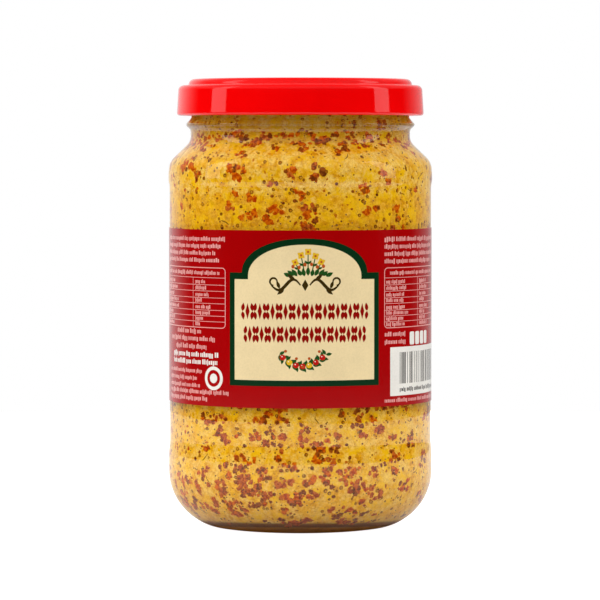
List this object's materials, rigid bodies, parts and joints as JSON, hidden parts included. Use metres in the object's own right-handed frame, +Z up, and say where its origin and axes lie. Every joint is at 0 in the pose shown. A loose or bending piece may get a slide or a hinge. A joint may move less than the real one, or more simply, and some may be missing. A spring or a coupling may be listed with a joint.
{
  "type": "jar of wholegrain mustard",
  "caption": "Round clear glass jar filled with wholegrain mustard, shut by a pressed metal lid, with a paper label wrapped round its recessed side.",
  "frame": {"origin": "middle of the base, on the surface that the jar stands on", "axes": "+Z up along the jar's axis, the middle of the label's printed front faces -Y"},
  "size_m": [0.0702, 0.0702, 0.1188],
  "materials": {
    "clear_glass": "clear, smooth",
    "wholegrain_mustard": "moist paste with whole seeds and seed hulls",
    "label_paper": "printed, semi-gloss",
    "lid_lacquer": "gloss lacquer"
  },
  "bodies": {
    "root": {"glass_jar": "clear_glass", "mustard": "wholegrain_mustard", "label": "label_paper", "lid": "lid_lacquer"}
  },
  "joints": []
}
